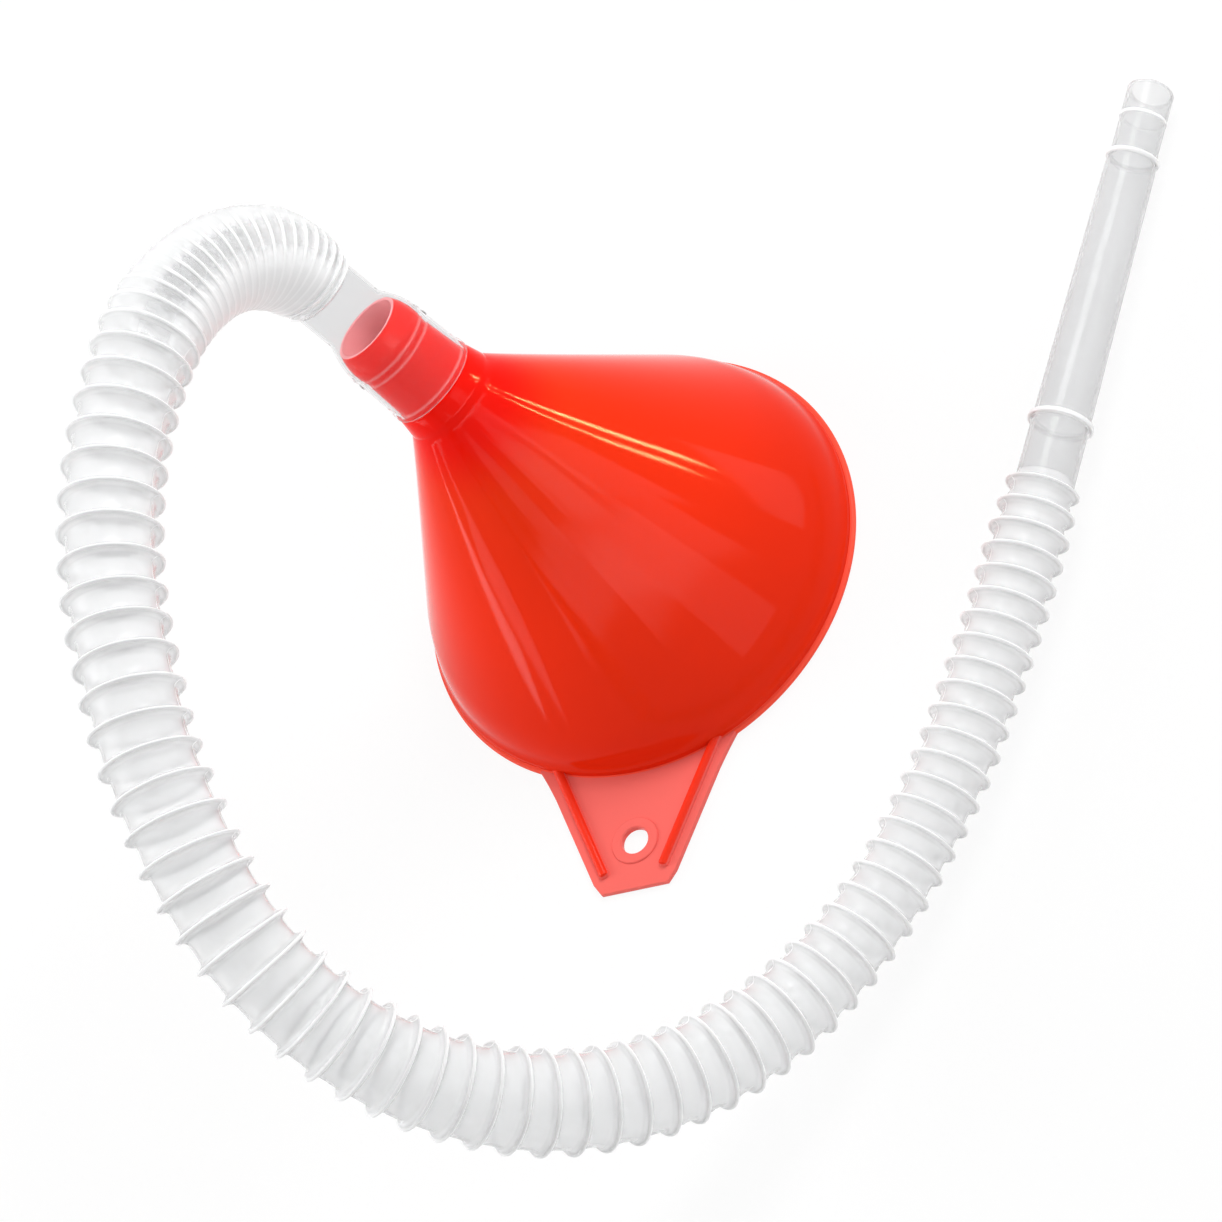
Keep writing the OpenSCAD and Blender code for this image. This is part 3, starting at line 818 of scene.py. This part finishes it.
# Small reflectors hang close round the cone. Each shows as one streak or patch on its gloss
# and adds no other light: its place, the way that it faces away from, its long edge, its
# length and breadth, its strength and its colour. The warm ones show on the funnel alone.
warm, plain = (1.0, 0.75, 0.32), (1.0, 1.0, 1.0)
lit_by_streaks = bpy.data.collections.new("lit_by_streaks")
lit_by_streaks.objects.link(funnel)
for name, place, back, along, length, breadth, strength, colour in (
        ("streak_lamp_a", (420, -185, 166), (0.885, -0.408, 0.225), (-0.53, -0.11, 0.84),
         76, 15, 140, warm),
        ("streak_lamp_b", (384, -236, 193), (0.811, -0.515, 0.279), (-0.62, -0.23, 0.75),
         94, 10, 126, warm),
        ("band_lamp_a", (203, -371, 263), (0.469, -0.781, 0.414), (-0.88, -0.37, 0.30),
         260, 40, 3.8, plain),
        ("band_lamp_b", (-49, -403, 291), (-0.055, -0.878, 0.476), (-0.994, 0.092, 0.055),
         190, 32, 3.8, plain),
        ("band_lamp_c", (-269, -320, 269), (-0.568, -0.706, 0.423), (0.80, -0.60, 0.08),
         120, 34, 2.8, plain),
        ("patch_lamp_a", (-265, -347, 248), (-0.598, -0.684, 0.417), (0.797, -0.565, 0.215),
         520, 30, 3.6, plain),
        ("patch_lamp_b", (18, -431, 262), (0.118, -0.876, 0.468), (0.992, 0.086, -0.089),
         560, 30, 3.2, plain),
        ("crescent_lamp", (447, -200, 114), (0.90, -0.38, 0.213), (-0.429, -0.86, 0.277),
         200, 30, 3, plain),
        ("left_streak_a", (-459, 133, 35), (-0.965, 0.262, -0.019), (0.43, 0.89, -0.14),
         155, 24, 8, plain),
        ("left_streak_b", (-474, 45, 90), (-0.994, 0.076, 0.082), (0.24, 0.97, -0.08),
         117, 50, 4, plain)):
    power = strength * math.pi * (breadth * mm) * (length * mm)
    reflector = lamp(name, Vector(place) * mm, -Vector(back), breadth * mm, length * mm,
                     power, upward=along)
    reflector.data.color = colour
    if colour == warm:
        reflector.light_linking.receiver_collection = lit_by_streaks
    reflector.visible_camera = False
    reflector.visible_diffuse = False
    reflector.visible_transmission = False

scene.view_settings.view_transform = "Standard"
scene.cycles.max_bounces = 32
scene.cycles.transmission_bounces = 32


# ---------------------------------------------------------------- camera
# A long lens looks down at about 52 degrees onto the funnel and its hose, and is rolled
# so that the pour tip points up and to the right of the frame.
camera_turn = math.radians(-101.0)
camera_height = math.radians(51.7)
camera_roll = math.radians(44.71)
camera_distance = 14.0
aim = Vector((-0.01476, 0.00207, -0.00062))
view_width = 0.3510
sensor_width = 36.0

toward_camera = Vector((math.cos(camera_height) * math.cos(camera_turn),
                        math.cos(camera_height) * math.sin(camera_turn),
                        math.sin(camera_height)))
level_right = Vector((-math.sin(camera_turn), math.cos(camera_turn), 0))
level_up = toward_camera.cross(level_right)
picture_right = level_right * math.cos(camera_roll) - level_up * math.sin(camera_roll)
picture_up = toward_camera.cross(picture_right)

camera_data = bpy.data.cameras.new("camera")
camera_data.sensor_width = sensor_width
camera_data.lens = sensor_width * camera_distance / view_width
camera_data.clip_start = 0.1
camera_data.clip_end = 60.0
camera = bpy.data.objects.new("camera", camera_data)
scene.collection.objects.link(camera)
camera.matrix_world = Matrix.Translation(aim + toward_camera * camera_distance) @ Matrix((
    (picture_right.x, picture_up.x, toward_camera.x, 0),
    (picture_right.y, picture_up.y, toward_camera.y, 0),
    (picture_right.z, picture_up.z, toward_camera.z, 0),
    (0, 0, 0, 1),
))
scene.camera = camera
